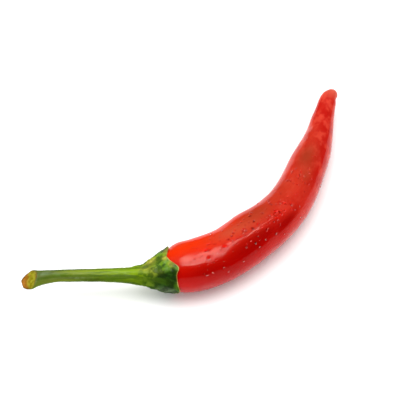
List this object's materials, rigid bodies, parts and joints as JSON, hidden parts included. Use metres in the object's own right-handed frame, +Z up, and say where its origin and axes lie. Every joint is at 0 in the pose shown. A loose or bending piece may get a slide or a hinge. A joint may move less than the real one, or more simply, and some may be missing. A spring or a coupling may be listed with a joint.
{
  "type": "chilli pepper",
  "caption": "Fresh red chilli pepper as picked, lying on its side: a slim curved pod that tapers to a blunt tip, capped by a green toothed calyx on a curved green stem.",
  "frame": {"origin": "on the surface it lies on, under the middle of its bounding box", "axes": "+X along its length from the stem's snapped end to the pod's tip, +Y towards the inside of its bend, +Z up off the surface"},
  "size_m": [0.1148, 0.0364, 0.0141],
  "materials": {
    "pod_skin": "smooth waxy glossy red skin",
    "calyx_skin": "satin mottled green skin",
    "stem_skin": "satin ridged yellow-green skin, brown where it snapped"
  },
  "bodies": {
    "root": {"pod": "pod_skin", "calyx": "calyx_skin", "stem": "stem_skin"}
  },
  "joints": []
}
